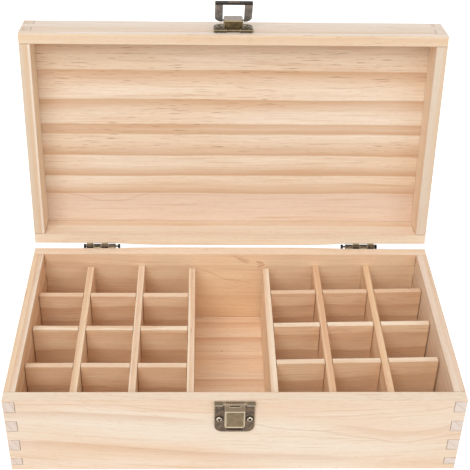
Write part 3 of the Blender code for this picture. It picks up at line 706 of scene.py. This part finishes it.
def dress_dividers():
    seed = DIVIDER_SEED
    for side in ("left", "right"):
        for row in ("outer", "inner", "middle"):
            name = f"divider_long_{side}_{row}"
            tones = [(AXIS_Z, DIVIDER_TOPS[f"{side}_{row}"], 0.75)]
            # Painted light on the side of this divider that looks towards -X.
            if name == "divider_long_right_middle":
                tones.append((-AXIS_X, MIDDLE_SIDE_PAINTED_LIGHT, 0.7))
            rings = (LONG_SPACING, (LONG_PITH, seed * LONG_PITH_STEP))
            dress(name, wood(f"{name}_pine", AXIS_Y, AXIS_Z, seed, AMBER_PINE, rings, tones=tones))
            seed += 1
        for row in ("back", "centre", "front"):
            name = f"divider_cross_{side}_{row}"
            pith = (CROSS_PITH[0] - CROSS_PITH_STEP * (seed % CROSS_PITH_CYCLE), CROSS_PITH[1])
            rings = (CROSS_SPACING, pith)
            dress(name, wood(f"{name}_pine", AXIS_X, AXIS_Z, seed, AMBER_PINE, rings, wave=0.0035,
                             tones=[(AXIS_Z, TOP_PALE, 0.8)]))
            seed += 1


def dress_lid():
    common = {"origin": HINGE_AXIS, "end_share": 0.35}
    dress("lid_front_rail", wood(
        "lid_front_pine", AXIS_X, LID_UP, 31, LID_FRONT_PINE, rings=(0.010, (0.03, 0.10)), contrast=0.5,
        tones=[(LID_FRONT, LID_FRONT_FACE, 0.9)], **common))
    dress("lid_back_rail", wood(
        "lid_back_pine", AXIS_X, LID_UP, 32, LID_BACK_PINE, rings=(0.011, (0.04, -0.05)), contrast=0.5,
        tones=[(LID_DOWN, CREAM, 0.7)], **common))
    # The lid's left rim gets a painted highlight: the PALE strip along its inner edge.
    dress("lid_left_rail", wood(
        "lid_left_pine", LID_REAR, LID_UP, 33, LID_LEFT_PINE, rings=(0.008, (0.06, 0.21)),
        tones=[(LID_DOWN, LID_LEFT_RIM, 0.8)], strips=[(LID_DOWN, AXIS_X, -0.1420, -0.1412, PALE)], **common))
    dress("lid_right_rail", wood(
        "lid_right_pine", LID_REAR, LID_UP, 34, LID_RIGHT_PINE, rings=(0.008, (0.05, -0.20)), contrast=0.5,
        tones=[(LID_DOWN, LID_RIGHT_RIM, 0.9)], **common))
    dress("lid_top_panel", wood(
        "lid_panel_pine", AXIS_X, LID_REAR, 35, PANEL_PINE, bands=PANEL_BANDS, contrast=1.0, wave=0.0008,
        dashes=0.65, plain=(-0.075, -0.050), strips=[(LID_DOWN, LID_REAR, -0.036, -0.032, PANEL_FOOT)],
        strokes=PANEL_STROKES, **common))


def on_lid(x, y, z):
    """A place that is given in the lid's own frame."""
    return HINGE_AXIS + LID_TURN @ Vector((x, y, z))


def toward(direction, base, rows):
    """Shades along a direction, with their places counted from a base."""
    return [(direction, base + start, base + stop, tone, strength) for start, stop, tone, strength in rows]


def dress_box_latch():
    # Painted shade ringed round each screw of the body plate.
    shade_rings = [Vector((LATCH_SHIFT + side * LATCH_HOLE, BODY_PLATE_FACE, BODY_LATCH_LEVEL + SHADE_RING_RISE))
             for side in (-1, 1)]
    # The painted shadow on the plate under the lever's tip.
    tip_shadow = (Vector((LATCH_SHIFT, BODY_PLATE_FACE, TIP_SHADOW_LEVEL)), (TIP_SHADOW_HALF, TIP_SHADOW_HALF, TIP_SHADOW_RISE))
    dress("latch_body_plate", bronze("body_plate_bronze", BODY_PLATE_BRONZE, 1, shade_rings=shade_rings, tip_shadow=tip_shadow,
                                     shades=toward(AXIS_Z, 0.0, BODY_KNUCKLE_SHADES)))
    shades = (toward(AXIS_X, LATCH_SHIFT, LEVER_RIGHT_SHADES) + toward(-AXIS_X, -LATCH_SHIFT, LEVER_LEFT_SHADES)
              + toward(-AXIS_Z, 0.0, LEVER_FOOT_SHADES) + toward(AXIS_Z, 0.0, LEVER_TOP_SHADES))
    dress("latch_lever", bronze("lever_bronze", LEVER_BRONZE, 2, metallic=0.65, shades=shades))


def dress_lid_latch():
    base = LID_FRONT.dot(on_lid(0.0, LID_FRONT_LEVEL, 0.0))
    shades = (toward(AXIS_X, LATCH_SHIFT, CAP_SIDE_SHADES) + toward(-AXIS_X, -LATCH_SHIFT, CAP_SIDE_SHADES)
              + toward(LID_FRONT, base, CAP_TOP_SHADES) + toward(LID_REAR, -base, CAP_FOOT_SHADES))
    dress("latch_lid_cap", bronze("cap_bronze", CAP_BRONZE, 8, metallic=0.6, wear=0.6, shades=shades))
    # Painted shade ringed round each screw of the lid plate.
    shade_rings = [on_lid(LATCH_SHIFT + side * LATCH_HOLE, LID_PLATE_FACE, LID_LATCH_LEVEL) for side in (-1, 1)]
    dress("latch_lid_plate", bronze("lid_plate_bronze", LID_PLATE_BRONZE, 7, shade_rings=shade_rings,
                                    shades=toward(LID_FRONT, base, LID_KNUCKLE_SHADES)))
    shades = toward(LID_FRONT, base, LID_PIN_TOP_SHADES) + toward(LID_REAR, -base, LID_PIN_FOOT_SHADES)
    dress("latch_lid_pin", bronze("lid_pin_bronze", LID_PIN_BRONZE, 11, wear=0.5, shades=shades))
    arm = Vector((0, -math.sin(LOOP_TILT), math.cos(LOOP_TILT)))
    bar = arm.dot(Vector((0, *LOOP_PIVOT))) + LOOP_BAR_START
    dress("latch_loop", bronze("loop_bronze", LOOP_BRONZE, 3, metallic=0.45, wear=0.3, brushed=(1.0, 0.0, 0.0),
                               shades=toward(arm, bar, LOOP_BAR_SHADES)))


def dress_pins_and_leaves():
    dress("latch_body_pin", bronze("pin_bronze", BODY_PIN_BRONZE, 4))
    hinge_pin = bronze("hinge_pin_bronze", HINGE_PIN_BRONZE, 9, wear=0.4, gloss=0.3)
    leaf = bronze("leaf_bronze", LEAF_BRONZE, 5)
    for side in ("left", "right"):
        dress(f"hinge_{side}_pin", hinge_pin)
        for part in ("body_leaf", "lid_leaf"):
            dress(f"hinge_{side}_{part}", leaf)


def new_piece(name, shape, smooth):
    """Turns a bmesh into an object of the scene."""
    mesh = bpy.data.meshes.new(name)
    shape.to_mesh(mesh)
    shape.free()
    for face in mesh.polygons:
        face.use_smooth = smooth
    piece = bpy.data.objects.new(name, mesh)
    bpy.context.scene.collection.objects.link(piece)
    return piece


def add_bowed(node, body, outward, rimward):
    """A copy that stands for a back board: its face bows out between the hinges, most along its rim."""
    shape = bmesh.new()
    shape.from_mesh(nodes[node].data)
    for cut in range(BOW_CUTS + 1):
        place = (BOW_REACH * (2 * cut / BOW_CUTS - 1), 0, 0)
        bmesh.ops.bisect_plane(shape, geom=shape.verts[:] + shape.edges[:] + shape.faces[:],
                               plane_co=place, plane_no=AXIS_X)
    face_level = max(vert.co.dot(outward) for vert in shape.verts)
    rises = [vert.co.dot(rimward) for vert in shape.verts]
    low, high = min(rises), max(rises)
    for vert in shape.verts:
        if vert.co.dot(outward) > face_level - BOW_SKIN:
            bend = max(0.0, 1 - (abs(vert.co.x) / BOW_REACH) ** BOW_FULLNESS)
            vert.co += outward * BOW_DEPTH * bend * (vert.co.dot(rimward) - low) / (high - low)
    piece = new_piece(f"{node}_bowed", shape, smooth=False)
    piece.data.materials.append(nodes[node].material_slots[0].material)
    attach(piece, body)
    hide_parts(node)


def close_skin(shape, rings, pairs):
    """Joins rings of corners pair by pair, and closes the first and the last of them."""
    for first, second in pairs:
        for step in range(len(first)):
            after = (step + 1) % len(first)
            shape.faces.new((first[step], first[after], second[after], second[step]))
    shape.faces.new(rings[0])
    shape.faces.new(list(reversed(rings[-1])))
    bmesh.ops.recalc_face_normals(shape, faces=shape.faces[:])


def screw_ring(shape, radius, level):
    angles = [2 * math.pi * step / SCREW_TURNS for step in range(SCREW_TURNS)]
    return [shape.verts.new((radius * math.cos(angle), radius * math.sin(angle), level)) for angle in angles]


def cut_recess(piece, spin):
    """Cuts the cross into a screw's head."""
    cutters = []
    for turn in (0, math.pi / 2):
        form = bmesh.new()
        bmesh.ops.create_cube(form, size=2, matrix=Matrix.Rotation(spin + turn, 4, "Z")
                              @ Matrix.Translation((0, 0, SCREW_HEIGHT))
                              @ Matrix.Diagonal((RECESS_REACH, RECESS_HALF, RECESS_DEPTH, 1)))
        cutter = new_piece(f"{piece.name}_cutter", form, smooth=False)
        boolean = piece.modifiers.new("recess", "BOOLEAN")
        boolean.operation = "DIFFERENCE"
        boolean.solver = "EXACT"
        boolean.object = cutter
        cutters.append(cutter)
    graph = bpy.context.evaluated_depsgraph_get()
    cut = bpy.data.meshes.new_from_object(piece.evaluated_get(graph))
    piece.modifiers.clear()
    piece.data = cut
    for cutter in cutters:
        bpy.data.objects.remove(cutter)


def add_screw(name, spin, matrix, body, metals):
    """A small domed screw head with a cross recess. metals are those of the head and of the recess, whose near
    black is painted shade.
    """
    shape = bmesh.new()
    rings = [screw_ring(shape, SCREW_RADIUS * share, SCREW_HEIGHT * rise) for share, rise in SCREW_PROFILE]
    rings.append(screw_ring(shape, SCREW_RADIUS * SHANK_SHARE, -SHANK_DEPTH))
    close_skin(shape, rings, zip(rings[1:], rings))
    piece = new_piece(name, shape, smooth=True)
    cut_recess(piece, spin)
    mesh = piece.data
    mesh.materials.clear()
    for metal in metals:
        mesh.materials.append(metal)
    for face in mesh.polygons:
        inside = math.hypot(face.center.x, face.center.y) < RECESS_REACH + RECESS_EDGE
        sunk = RECESS_EDGE < face.center.z < SCREW_HEIGHT - RECESS_EDGE
        face.material_index = 1 if inside and sunk else 0
    mesh.transform(matrix)
    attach(piece, body)


def screw_matrix(place, direction):
    """A matrix that stands a screw at a place with its top along a direction."""
    return Matrix.Translation(place) @ direction.to_track_quat("Z", "Y").to_matrix().to_4x4()


def add_screws():
    head = bronze("screw_bronze", HEAD_BRONZE, 6)
    lid_head = bronze("lid_screw_bronze", LID_HEAD_BRONZE, 12)
    # Painted shade: the cross recesses are near black.
    recess = bronze("screw_recess_shade", RECESS_SHADE_BRONZE, 10, metallic=0.0, wear=0.1, gloss=0.0)
    for side, label in ((-1, "left"), (1, "right")):
        x = LATCH_SHIFT + side * LATCH_HOLE
        place = Vector((x, BODY_PLATE_FACE, BODY_LATCH_LEVEL))
        add_screw(f"latch_body_screw_{label}", BODY_LATCH_SPIN[0] + side * BODY_LATCH_SPIN[1],
                  screw_matrix(place, -AXIS_Y), "box", (head, recess))
        place = on_lid(x, LID_PLATE_FACE, LID_LATCH_LEVEL)
        add_screw(f"latch_lid_screw_{label}", LID_LATCH_SPIN[0] + side * LID_LATCH_SPIN[1],
                  screw_matrix(place, LID_FRONT), "lid", (lid_head, recess))
        for hole, part in ((-1, "outer"), (1, "inner")):
            x = side * (HINGE_CENTRE - hole * HINGE_HOLE)
            place = Vector((x, BODY_LEAF_FACE, BODY_LEAF_LEVEL))
            add_screw(f"hinge_{label}_body_screw_{part}", BODY_HINGE_SPIN * hole,
                      screw_matrix(place, AXIS_Y), "box", (head, recess))
            place = on_lid(x, LID_LEAF_FACE, LID_LEAF_LEVEL)
            add_screw(f"hinge_{label}_lid_screw_{part}", LID_HINGE_SPIN * hole,
                      screw_matrix(place, LID_REAR), "lid", (head, recess))


def add_plate_lip():
    """The half-round lip pressed out of the body plate's lower edge, narrowing at its ends."""
    shape = bmesh.new()
    angles = [math.pi * step / LIP_STEPS - math.pi / 2 for step in range(LIP_STEPS + 1)]
    rings = []
    for reach, size in LIP_RINGS:
        rings.append([shape.verts.new((LATCH_SHIFT + LIP_HALF * reach,
                                       BODY_PLATE_FACE - LIP_PROUD * size * math.cos(angle),
                                       LIP_LEVEL + LIP_RISE * size * math.sin(angle))) for angle in angles])
    close_skin(shape, rings, zip(rings, rings[1:]))
    piece = new_piece("latch_plate_lip", shape, smooth=True)
    piece.data.materials.append(bronze("lip_bronze", LIP_BRONZE, 13))
    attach(piece, "box")


def background_share(tree):
    """1 for the rays that see the background: the camera's, and those that metal or glass sends on."""
    ray = tree.add("ShaderNodeLightPath")
    seen = tree.math("MAXIMUM", ray.outputs["Is Camera Ray"], ray.outputs["Is Glossy Ray"])
    return tree.math("MAXIMUM", seen, ray.outputs["Is Transmission Ray"])


def floor_material():
    """Grey under the lamps, and with a glow that makes it white to the rays that see the background."""
    material, tree = new_material("floor_white")
    link = tree.tree.links.new
    diffuse = tree.add("ShaderNodeBsdfDiffuse")
    diffuse.inputs["Color"].default_value = (FLOOR_GREY, FLOOR_GREY, FLOOR_GREY, 1)
    glow = tree.add("ShaderNodeEmission")
    glow.inputs["Strength"].default_value = FLOOR_GLOW
    both = tree.add("ShaderNodeAddShader")
    link(diffuse.outputs[0], both.inputs[0])
    link(glow.outputs[0], both.inputs[1])
    choice = tree.add("ShaderNodeMixShader")
    link(background_share(tree), choice.inputs[0])
    link(diffuse.outputs[0], choice.inputs[1])
    link(both.outputs[0], choice.inputs[2])
    output = tree.add("ShaderNodeOutputMaterial")
    link(choice.outputs[0], output.inputs[0])
    return material


def add_floor():
    shape = bmesh.new()
    half = FLOOR_SIZE / 2
    corners = ((-half, -half), (half, -half), (half, half), (-half, half))
    shape.faces.new([shape.verts.new((x, y, -FLOOR_DROP)) for x, y in corners])
    floor = new_piece("floor", shape, smooth=False)
    floor.data.materials.append(floor_material())


def add_world():
    world = bpy.data.worlds.new("studio")
    bpy.context.scene.world = world
    world.use_nodes = True
    world.node_tree.nodes.clear()
    tree = Tree(world.node_tree)
    strength = tree.spread(background_share(tree), 0.0, 1.0, WORLD_LIGHT, 1.0, smooth=False)
    background = tree.add("ShaderNodeBackground")
    background.inputs["Color"].default_value = (1, 1, 1, 1)
    tree.feed(background.inputs["Strength"], strength)
    output = tree.add("ShaderNodeOutputWorld")
    tree.tree.links.new(background.outputs[0], output.inputs[0])


def add_lamp(name, place, size, power):
    lamp = bpy.data.lights.new(name, "AREA")
    lamp.size = size
    lamp.energy = power
    lamp.color = (1, 1, 1)
    piece = bpy.data.objects.new(name, lamp)
    piece.location = place
    piece.rotation_mode = "QUATERNION"
    piece.rotation_quaternion = (LAMP_TARGET - Vector(place)).to_track_quat("-Z", "Y")
    bpy.context.scene.collection.objects.link(piece)


def add_camera():
    forward = Vector((math.sin(CAMERA_YAW) * math.cos(CAMERA_PITCH), math.cos(CAMERA_YAW) * math.cos(CAMERA_PITCH),
                      -math.sin(CAMERA_PITCH)))
    level = Vector((math.cos(CAMERA_YAW), -math.sin(CAMERA_YAW), 0))
    below = forward.cross(level)
    right = level * math.cos(CAMERA_ROLL) + below * math.sin(CAMERA_ROLL)
    down = -level * math.sin(CAMERA_ROLL) + below * math.cos(CAMERA_ROLL)
    turn = Matrix((right, -down, -forward)).transposed().to_4x4()
    data = bpy.data.cameras.new("camera")
    data.sensor_width = SENSOR
    data.lens = FOCAL_PIXELS / IMAGE_PIXELS * SENSOR
    centre = IMAGE_PIXELS / 2
    data.shift_x = (centre - CENTRE_PIXELS[0]) / IMAGE_PIXELS
    data.shift_y = (CENTRE_PIXELS[1] - centre) / IMAGE_PIXELS
    data.clip_start, data.clip_end = CAMERA_CLIP
    camera = bpy.data.objects.new("camera", data)
    camera.matrix_world = Matrix.Translation(CAMERA_PLACE) @ turn
    bpy.context.scene.collection.objects.link(camera)
    bpy.context.scene.camera = camera


def build():
    add_camera()
    dress_box()
    dress_dividers()
    dress_lid()
    add_bowed("body_back_board", "box", AXIS_Y, AXIS_Z)
    add_bowed("lid_back_rail", "lid", LID_REAR, LID_DOWN)
    dress_box_latch()
    dress_lid_latch()
    dress_pins_and_leaves()
    add_screws()
    add_plate_lip()
    add_floor()
    add_world()
    for lamp in LAMPS:
        add_lamp(*lamp)
    bpy.context.scene.view_settings.view_transform = "Standard"


build()
